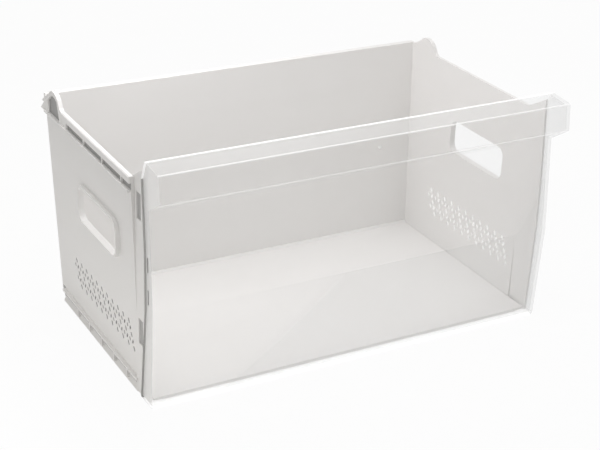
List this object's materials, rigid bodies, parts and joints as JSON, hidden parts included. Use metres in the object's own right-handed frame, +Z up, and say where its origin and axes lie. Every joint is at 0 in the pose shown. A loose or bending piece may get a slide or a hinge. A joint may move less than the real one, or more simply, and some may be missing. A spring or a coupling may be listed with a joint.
{
  "type": "freezer drawer",
  "caption": "Freezer drawer: a moulded tub with rails, air slots and hand openings behind a clear front that bends out into a full-width handle.",
  "frame": {"origin": "on the surface the drawer rests on, under the middle of its outline", "axes": "+X to the right as seen from the front, +Y from the handle towards the back, +Z up"},
  "size_m": [0.438, 0.2924, 0.243],
  "materials": {
    "left_side_panel": "moulded, satin, warm light grey",
    "right_side_panel": "moulded, satin, warm light grey",
    "rear_panel": "moulded, satin, warm light grey",
    "floor_panel": "moulded, satin, warm light grey",
    "clear_front": "clear moulded plastic, polished"
  },
  "bodies": {
    "root": {"left_side_panel": "left_side_panel", "right_side_panel": "right_side_panel", "rear_panel": "rear_panel", "floor_panel": "floor_panel", "clear_front": "clear_front"}
  },
  "joints": []
}
